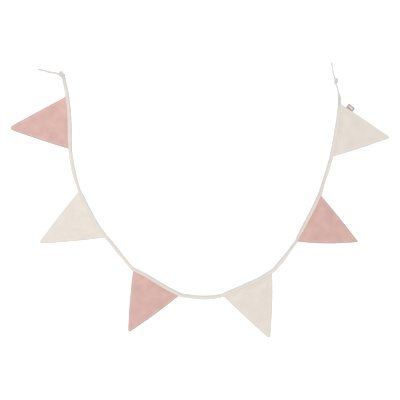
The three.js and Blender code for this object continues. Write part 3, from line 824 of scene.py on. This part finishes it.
def label():
    """The folded label: both ends are caught in the seam, and its fold shows."""
    half = LABEL_CLOTH / 2
    bottom = PANEL_ROOM + CLEARANCE + half
    top = bottom + LABEL_CLOTH + LABEL_GAP
    bend = (top - bottom) / 2
    depth = LABEL["shows"] + LABEL["caught"]
    run = np.linspace(0, depth - bend, LABEL_STEPS)
    arc = np.radians(np.linspace(0, 180, LABEL_ARC)[1:-1])
    out = np.concatenate([run, depth - bend + bend * np.sin(arc), run[::-1]])
    up = np.concatenate([np.full(len(run), bottom), bottom + bend - bend * np.cos(arc),
                         np.full(len(run), top)])
    shown = np.clip((out - LABEL["caught"]) / LABEL["shows"], 0, 1)
    length = np.linspace(-0.5, 0.5, LABEL_STEPS) * LABEL["length"]
    unit_along, into_seam = axes(LABEL["heading"])
    unit_out = -into_seam
    across = out - depth + LABEL["shows"] / 2
    curl = LABEL_CURL * np.sin(math.pi * length / LABEL["length"])[:, None] * shown[None, :]
    droop = LABEL_DROOP * shown[None, :] ** 2
    x = LABEL["x"] + unit_along[0] * length[:, None] + unit_out[0] * across[None, :]
    y = LABEL["y"] + unit_along[1] * length[:, None] + unit_out[1] * across[None, :]
    z = up[None, :] - droop + curl
    points = np.stack([x, y, z], axis=-1)
    to_fold = np.concatenate([depth - run, np.zeros(len(arc)), (depth - run)[::-1]])
    uv = np.stack([np.repeat(length[:, None], len(out), axis=1),
                   np.repeat(to_fold[None, :], len(length), axis=0)], axis=-1)
    sheet, _, _ = grid_sheet("folded_label", points, uv)
    thicken(sheet, LABEL_CLOTH)
    return sheet


# Looks. Colours are linear, from the photo's tones under an even light. Of each cotton: its
# colour, that of the painted shade along its seamed edges, the painted shadow beside the tape
# and how much its tone varies.
COTTONS = {
    "pink": dict(colour=(0.742, 0.484, 0.435), edge_shade_colour=(0.590, 0.440, 0.410),
                 tape_shadow=(0.91, 0.88, 0.87), mottle=3.9),
    "cream": dict(colour=(0.844, 0.775, 0.700), edge_shade_colour=(0.730, 0.700, 0.655),
                  tape_shadow=(0.985, 0.98, 0.98), mottle=1.4),
}
TAPE_CREAM = (0.792, 0.750, 0.705)
# Painted shade on the tape, for its fold, its open edge and the pleats where it is gathered
TAPE_PAINTED_SHADES = {
    "near_fold": (0.885, 0.87, 0.865),
    "open_rim": (0.95, 0.94, 0.935),
    "creased": (0.78, 0.80, 0.835),
}
PINK_SHOWING = (0.820, 0.706, 0.658)
PINK_SHARE = 0.9
LABEL_MAUVE = (0.370, 0.290, 0.290)
LABEL_PALE = (0.823, 0.672, 0.687)
THREAD_CREAM = (0.80, 0.765, 0.72)

# The weave, in metres: the pitch of the threads, how unevenly they run, and the tone of the
# darkest and lightest thread, the painted shade in the gaps between threads, and the tone of a
# slub
PANEL_PITCH = 0.00055
TAPE_PITCH = 0.00042
LABEL_PITCH = 0.00022
PANEL_DRIFT = 0.35
LABEL_DRIFT = 0.1
DRIFT_THREADS = 4.0
DRIFT_SCALES = (("X", 210.0), ("Y", 170.0))
THREAD_TONES = (0.97, 1.02)
GAP_SHADE = 0.86
SLUB_TONE = 1.035
TONE_SCALE = 24.0
TONE_DARKER = 0.024
TONE_LIGHTER = 0.02
SLUB_SCALE = 1100.0
SLUB_STRETCH = 0.06
SLUB_STEP = (0.58, 0.78)

# The seamed sides, in metres from the edge: the band of painted shade along the edge, and the
# allowance's inner and outer borders and how far they wander, then how much of each shows
EDGE_SHADE_BAND = (0.0016, 0.0048)
ALLOWANCE_INNER = (0.0042, 0.0056)
ALLOWANCE_OUTER = (0.0066, 0.0092)
ALLOWANCE_WANDER = 0.0008
WANDER_SCALE = 160.0
EDGE_SHADE_SHARE = 0.7
ALLOWANCE_SHARE = 0.10
ALLOWANCE_PALE = (0.95, 0.92, 0.90)

# The range that a noise mostly keeps to, and the surfaces: roughness from plain to slubbed cloth,
# how strongly threads, slubs and fuzz stand out, and how high in metres
NOISE_RANGE = (0.3, 0.7)
COTTON_ROUGH = (0.93, 0.84)
THREADS_OUT = 0.55
THREAD_HEIGHT = 0.35
SLUBS_OUT = (0.35, 0.00016)
FUZZ_OUT = (0.25, 0.00008)
FUZZ_SCALE = 5200.0

# The label's woven border and how soft its inner line is, in metres, and its tones and surface
BORDER = 0.0036
BLUR = 0.0005
LABEL_THREAD_TONES = (0.92, 1.05)
LABEL_TONES = (0.95, 1.03)
LABEL_TONE_SCALE = 120.0
LABEL_ROUGH = (0.75, 0.5)
LABEL_OUT = (0.5, 0.00012)
BORDER_HEIGHT = 0.8

# The sewing thread's twist: how close, how uneven, the painted shade of its grooves, and how it
# stands out
TWIST_SCALE = 900.0
TWIST_UNEVEN = 1.5
TWIST_GROOVE_SHADE = (0.88, 1.0)
TWIST_OUT = (0.4, 0.00005)


def link(tree, value, socket):
    """Sets a socket to a number or colour, or links another socket to it."""
    if isinstance(value, bpy.types.NodeSocket):
        tree.links.new(value, socket)
    elif value is not None:
        socket.default_value = value


def math_node(tree, operation, *values):
    node = tree.nodes.new("ShaderNodeMath")
    node.operation = operation
    for socket, value in zip(node.inputs, values):
        link(tree, value, socket)
    return node.outputs[0]


def times(tree, first, *others):
    """The product of several numbers."""
    for other in others:
        first = math_node(tree, "MULTIPLY", first, other)
    return first


def scaled(tree, value, low, high, to_low, to_high, kind="LINEAR"):
    """A number between low and high, brought to between to_low and to_high."""
    node = tree.nodes.new("ShaderNodeMapRange")
    node.interpolation_type = kind
    for socket, entry in zip(node.inputs, (value, low, high, to_low, to_high)):
        link(tree, entry, socket)
    return node.outputs[0]


def eased(tree, *limits):
    """The same along a smooth step."""
    return scaled(tree, *limits, kind="SMOOTHSTEP")


def mix_colours(tree, kind, share, first, second):
    node = tree.nodes.new("ShaderNodeMix")
    node.data_type = "RGBA"
    node.blend_type = kind
    link(tree, share, node.inputs["Factor"])
    for name, entry in (("A", first), ("B", second)):
        socket = next(s for s in node.inputs if s.name == name and s.type == "RGBA")
        link(tree, (*entry, 1.0) if isinstance(entry, tuple) else entry, socket)
    return next(s for s in node.outputs if s.type == "RGBA")


def shaded(tree, colour, level):
    """A colour made darker or lighter by a number."""
    grey = tree.nodes.new("ShaderNodeCombineColor")
    for socket in grey.inputs:
        link(tree, level, socket)
    return mix_colours(tree, "MULTIPLY", 1.0, colour, grey.outputs[0])


def noise(tree, place, scale, detail=2.0):
    node = tree.nodes.new("ShaderNodeTexNoise")
    for name, value in (("Vector", place), ("Scale", scale), ("Detail", detail)):
        link(tree, value, node.inputs[name])
    return node.outputs["Fac"]


def new_group(name, inputs, outputs):
    """An empty shader group. Its inputs have a number each, or None for a place."""
    group = bpy.data.node_groups.new(name, "ShaderNodeTree")
    for words, value in inputs.items():
        kind = "NodeSocketVector" if value is None else "NodeSocketFloat"
        socket = group.interface.new_socket(words, in_out="INPUT", socket_type=kind)
        if value is not None:
            socket.default_value = value
    for words in outputs:
        group.interface.new_socket(words, in_out="OUTPUT", socket_type="NodeSocketFloat")
    return group, group.nodes.new("NodeGroupInput"), group.nodes.new("NodeGroupOutput")


def plain_weave_group():
    """Warp and weft passing over each other, each thread a little thicker or darker."""
    inputs = dict(Place=None, Pitch=PANEL_PITCH, Drift=PANEL_DRIFT)
    tree, given, made = new_group("plain_weave", inputs, ["Height", "Shade"])
    place = given.outputs["Place"]
    split = tree.nodes.new("ShaderNodeSeparateXYZ")
    link(tree, place, split.inputs[0])
    threads = []
    for axis, scale in DRIFT_SCALES:
        wander = noise(tree, place, scale, 1.0)
        shift = times(tree, wander, given.outputs["Drift"], DRIFT_THREADS)
        count = math_node(tree, "DIVIDE", split.outputs[axis], given.outputs["Pitch"])
        threads.append(math_node(tree, "ADD", count, shift))
    waves = [math_node(tree, "SINE", times(tree, thread, math.pi)) for thread in threads]
    both = times(tree, *waves)
    warp = math_node(tree, "ADD", math_node(tree, "ABSOLUTE", waves[0]), both)
    weft = math_node(tree, "SUBTRACT", math_node(tree, "ABSOLUTE", waves[1]), both)
    highest = math_node(tree, "MAXIMUM", warp, weft)
    link(tree, times(tree, highest, 0.5), made.inputs["Height"])
    shades = []
    for thread in threads:
        own = tree.nodes.new("ShaderNodeTexWhiteNoise")
        own.noise_dimensions = "1D"
        link(tree, math_node(tree, "FLOOR", thread), own.inputs["W"])
        shades.append(own.outputs["Value"])
    on_top = math_node(tree, "GREATER_THAN", warp, weft)
    off = math_node(tree, "SUBTRACT", 1.0, on_top)
    shade = math_node(tree, "ADD", times(tree, shades[0], on_top), times(tree, shades[1], off))
    link(tree, shade, made.inputs["Shade"])
    return tree


def slub_group():
    """Slow tone changes, and short thicker places along the threads of each direction."""
    inputs = dict(Place=None, Size=TONE_SCALE)
    tree, given, made = new_group("slubs_and_tone", inputs, ["Tone", "Slub"])
    place = given.outputs["Place"]
    tone = noise(tree, place, given.outputs["Size"], 3.0)
    link(tree, tone, made.inputs["Tone"])
    streaks = []
    for stretch in ((1.0, SLUB_STRETCH, 1.0), (SLUB_STRETCH, 1.0, 1.0)):
        turn = tree.nodes.new("ShaderNodeMapping")
        turn.inputs["Scale"].default_value = stretch
        link(tree, place, turn.inputs["Vector"])
        streak = noise(tree, turn.outputs["Vector"], SLUB_SCALE, 1.5)
        streaks.append(eased(tree, streak, *SLUB_STEP, 0.0, 1.0))
    link(tree, math_node(tree, "MAXIMUM", *streaks), made.inputs["Slub"])
    return tree


def seam_shade_and_allowance_group():
    """Masks for a seamed side: the painted shade along its turned edge, and the allowance pressed
    inside it.
    """
    inputs = dict(Distance=0.0, Place=None)
    tree, given, made = new_group("seam_shade_and_allowance", inputs, ["Edge", "Allowance"])
    distance = given.outputs["Distance"]
    wander = noise(tree, given.outputs["Place"], WANDER_SCALE)
    shift = scaled(tree, wander, 0.0, 1.0, -ALLOWANCE_WANDER, ALLOWANCE_WANDER)
    uneven = math_node(tree, "ADD", distance, shift)
    link(tree, eased(tree, distance, *EDGE_SHADE_BAND, 1.0, 0.0), made.inputs["Edge"])
    inside = eased(tree, uneven, *ALLOWANCE_INNER, 0.0, 1.0)
    within = eased(tree, uneven, *ALLOWANCE_OUTER, 1.0, 0.0)
    link(tree, times(tree, inside, within), made.inputs["Allowance"])
    return tree


WEAVE = plain_weave_group()
SLUBS = slub_group()
SEAM_SHADE_AND_ALLOWANCE = seam_shade_and_allowance_group()


def place_group(tree, group, **values):
    node = tree.nodes.new("ShaderNodeGroup")
    node.node_tree = group
    for name, value in values.items():
        link(tree, value, node.inputs[name])
    return node


def attribute(tree, name):
    node = tree.nodes.new("ShaderNodeAttribute")
    node.attribute_name = name
    return node.outputs["Fac"]


def new_material(name, **settings):
    """A material and its parts, with the Principled shader's constant inputs set."""
    material = bpy.data.materials.new(name)
    material.use_nodes = True
    tree = material.node_tree
    shader = tree.nodes["Principled BSDF"]
    for words, value in settings.items():
        shader.inputs[words.replace("_", " ")].default_value = value
    return material, tree, shader, tree.nodes.new("ShaderNodeTexCoord")


def bump(tree, height, strength, distance, below=None):
    node = tree.nodes.new("ShaderNodeBump")
    node.inputs["Strength"].default_value = strength
    node.inputs["Distance"].default_value = distance
    link(tree, height, node.inputs["Height"])
    link(tree, below, node.inputs["Normal"])
    return node.outputs["Normal"]


def seamed_sides(tree, colour, place, cotton):
    """A pennant's marks: painted shade along its turned edges, paler allowances, its tone as
    painted light and shade, and the painted shadow of the tape's edge.
    """
    seam_masks = place_group(tree, SEAM_SHADE_AND_ALLOWANCE, Distance=attribute(tree, "from_seam"), Place=place)
    # Painted shade along the turned edge
    edge = times(tree, seam_masks.outputs["Edge"], EDGE_SHADE_SHARE)
    colour = mix_colours(tree, "MIX", edge, colour, cotton["edge_shade_colour"])
    allowance = times(tree, seam_masks.outputs["Allowance"], ALLOWANCE_SHARE)
    colour = mix_colours(tree, "MIX", allowance, colour, ALLOWANCE_PALE)
    # The pennant's tone: painted light and shade over the whole pennant
    colour = shaded(tree, colour, attribute(tree, "tone"))
    tape_shadow = attribute(tree, "painted_tape_shadow")
    return mix_colours(tree, "MULTIPLY", tape_shadow, colour, cotton["tape_shadow"])


def tape_tint_and_painted_shade(tree, colour):
    """The tape is thin, so a pink pennant inside it tints the side that lies over it. Painted
    shade makes its fold, its open edge and its creases a little darker, and its tone darker where
    it is creased or gathered."""
    over = times(tree, attribute(tree, "over_pink"), PINK_SHARE)
    colour = mix_colours(tree, "MIX", over, colour, PINK_SHOWING)
    for name, painted_shade in TAPE_PAINTED_SHADES.items():
        colour = mix_colours(tree, "MULTIPLY", attribute(tree, name), colour, painted_shade)
    return shaded(tree, colour, attribute(tree, "tone"))


def woven_cotton(name, pitch, sheen, cotton=None, turned=0.0):
    """A matt plain-woven cotton: threads with painted shade in the gaps between them, slubs, slow
    tone changes and fuzz. Without a cotton of its own it is the tape's."""
    material, tree, shader, coordinates = new_material(
        name, Specular_IOR_Level=0.25, Sheen_Weight=sheen, Sheen_Roughness=0.55)
    turn = tree.nodes.new("ShaderNodeMapping")
    turn.inputs["Rotation"].default_value = (0, 0, math.radians(turned))
    link(tree, coordinates.outputs["UV"], turn.inputs["Vector"])
    place = turn.outputs["Vector"]
    weave = place_group(tree, WEAVE, Place=place, Pitch=pitch)
    slubs = place_group(tree, SLUBS, Place=place)
    mottle = cotton["mottle"] if cotton else 1.0
    darkest = 1 - TONE_DARKER * mottle
    lightest = 1 + TONE_LIGHTER * mottle
    tone = scaled(tree, slubs.outputs["Tone"], *NOISE_RANGE, darkest, lightest)
    thread = scaled(tree, weave.outputs["Shade"], 0.0, 1.0, *THREAD_TONES)
    # Painted shade in the gaps between threads
    gap_shade = eased(tree, weave.outputs["Height"], 0.0, 0.6, GAP_SHADE, 1.0)
    slub = scaled(tree, slubs.outputs["Slub"], 0.0, 1.0, 1.0, SLUB_TONE)
    colour = cotton["colour"] if cotton else tape_tint_and_painted_shade(tree, TAPE_CREAM)
    colour = shaded(tree, colour, times(tree, tone, thread, gap_shade, slub))
    if cotton:
        colour = seamed_sides(tree, colour, place, cotton)
    link(tree, colour, shader.inputs["Base Color"])
    rough = scaled(tree, slubs.outputs["Slub"], 0.0, 1.0, *COTTON_ROUGH)
    link(tree, rough, shader.inputs["Roughness"])
    threads = bump(tree, weave.outputs["Height"], THREADS_OUT, pitch * THREAD_HEIGHT)
    lumps = bump(tree, slubs.outputs["Slub"], *SLUBS_OUT, threads)
    fuzz = noise(tree, coordinates.outputs["Object"], FUZZ_SCALE)
    link(tree, bump(tree, fuzz, *FUZZ_OUT, lumps), shader.inputs["Normal"])
    return material


def label_weave():
    """A fine satin label: a mauve border round a plain pale middle."""
    material, tree, shader, coordinates = new_material("label_satin", Specular_IOR_Level=0.35)
    place = coordinates.outputs["UV"]
    split = tree.nodes.new("ShaderNodeSeparateXYZ")
    link(tree, place, split.inputs[0])
    from_middle = math_node(tree, "ABSOLUTE", split.outputs["X"])
    from_fold = split.outputs["Y"]
    half = LABEL["length"] / 2 * MM
    near_seam = LABEL["shows"] * MM - BORDER
    side = eased(tree, from_middle, half - BORDER - BLUR, half - BORDER, 0.0, 1.0)
    fold_side = eased(tree, from_fold, BORDER, BORDER + BLUR, 1.0, 0.0)
    seam_side = eased(tree, from_fold, near_seam - BLUR, near_seam, 0.0, 1.0)
    ends = math_node(tree, "MAXIMUM", fold_side, seam_side)
    border = math_node(tree, "MAXIMUM", side, ends)
    weave = place_group(tree, WEAVE, Place=place, Pitch=LABEL_PITCH, Drift=LABEL_DRIFT)
    slubs = place_group(tree, SLUBS, Place=place, Size=LABEL_TONE_SCALE)
    thread = scaled(tree, weave.outputs["Shade"], 0.0, 1.0, *LABEL_THREAD_TONES)
    tone = scaled(tree, slubs.outputs["Tone"], *NOISE_RANGE, *LABEL_TONES)
    colour = mix_colours(tree, "MIX", border, LABEL_PALE, LABEL_MAUVE)
    colour = shaded(tree, colour, times(tree, thread, tone))
    link(tree, colour, shader.inputs["Base Color"])
    rough = scaled(tree, weave.outputs["Height"], 0.0, 0.8, *LABEL_ROUGH)
    link(tree, rough, shader.inputs["Roughness"])
    raised = times(tree, border, BORDER_HEIGHT)
    height = math_node(tree, "ADD", weave.outputs["Height"], raised)
    link(tree, bump(tree, height, *LABEL_OUT), shader.inputs["Normal"])
    return material


def sewing_thread():
    """Twisted sewing thread, a little glossier than the cloth."""
    material, tree, shader, coordinates = new_material("sewing_thread", Roughness=0.6)
    ply = tree.nodes.new("ShaderNodeTexWave")
    ply.wave_type = "BANDS"
    ply.bands_direction = "DIAGONAL"
    ply.inputs["Scale"].default_value = TWIST_SCALE
    ply.inputs["Distortion"].default_value = TWIST_UNEVEN
    link(tree, coordinates.outputs["Object"], ply.inputs["Vector"])
    # Painted shade, darker in the grooves of the twist
    level = scaled(tree, ply.outputs["Fac"], 0.0, 1.0, *TWIST_GROOVE_SHADE)
    link(tree, shaded(tree, THREAD_CREAM, level), shader.inputs["Base Color"])
    link(tree, bump(tree, ply.outputs["Fac"], *TWIST_OUT), shader.inputs["Normal"])
    return material


def dress(piece, material, slot_name, *nodes):
    piece.data.materials.append(material)
    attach(piece, "root")
    if nodes:
        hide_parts(*nodes)


# The view comes first: straight down, as wide as the photo at the surface
PHOTO_WIDTH = 1.32
CAMERA_HEIGHT = 3.4
camera_data = bpy.data.cameras.new("photo_view")
camera = bpy.data.objects.new("photo_view", camera_data)
bpy.context.scene.collection.objects.link(camera)
camera.location = (0.0, 0.0, CAMERA_HEIGHT)
camera_data.lens = camera_data.sensor_width * CAMERA_HEIGHT / PHOTO_WIDTH
bpy.context.scene.camera = camera

cloths = {name: woven_cotton(f"{name}_plain_weave", PANEL_PITCH, 0.2, cotton)
          for name, cotton in COTTONS.items()}
for pennant in PENNANTS:
    for layer in ("back", "front"):
        name = pennant["name"]
        cloth = pennant["cloth"]
        piece = panel(pennant, layer)
        dress(piece, cloths[cloth], f"{cloth}_cotton", f"{name}_{layer}")

bunting_tape, tape_length = tape()
tape_cotton = woven_cotton("tape_plain_weave", TAPE_PITCH, 0.15, turned=45.0)
dress(bunting_tape, tape_cotton, "tape_cotton", "tape")
stitches = tape_stitches()
dress(stitches, sewing_thread(), "tape_cotton")

seam_label = label()
dress(seam_label, label_weave(), "label_weave", "label")


# A plain pale floor, lit a little from below as on a light table, and soft light from above, a
# little from the upper left
FLOOR_SIZE = 14.0
FLOOR_GLOW = 0.13
FLOOR_TONES = (0.975, 0.985)
LIGHT_PLACE = (-0.8, 0.65, 6.6)
LIGHT_SIZE = 2.4
LIGHT_POWER = 362.0
ROOM_LIGHT = 0.28
WHITE = (1.0, 1.0, 1.0)


def floor():
    deselect_all()
    bpy.ops.mesh.primitive_plane_add(size=FLOOR_SIZE)
    ground = bpy.context.object
    ground.name = "floor"
    material, tree, shader, coordinates = new_material(
        "pale_floor", Roughness=0.9, Specular_IOR_Level=0.1, Emission_Color=(*WHITE, 1.0),
        Emission_Strength=FLOOR_GLOW)
    patches = noise(tree, coordinates.outputs["Object"], 1.5)
    level = scaled(tree, patches, 0.2, 0.8, *FLOOR_TONES)
    link(tree, shaded(tree, WHITE, level), shader.inputs["Base Color"])
    ground.data.materials.append(material)


def overhead_light():
    data = bpy.data.lights.new("overhead_light", "AREA")
    data.shape = "SQUARE"
    data.size = LIGHT_SIZE
    data.energy = LIGHT_POWER
    lamp = bpy.data.objects.new("overhead_light", data)
    bpy.context.scene.collection.objects.link(lamp)
    lamp.location = LIGHT_PLACE
    direction = -lamp.location
    lamp.rotation_euler = direction.to_track_quat("-Z", "Y").to_euler()


floor()
overhead_light()
world = bpy.data.worlds.new("studio")
world.use_nodes = True
background = world.node_tree.nodes["Background"]
background.inputs["Color"].default_value = (*WHITE, 1.0)
background.inputs["Strength"].default_value = ROOM_LIGHT
bpy.context.scene.world = world
bpy.context.scene.view_settings.view_transform = "Standard"
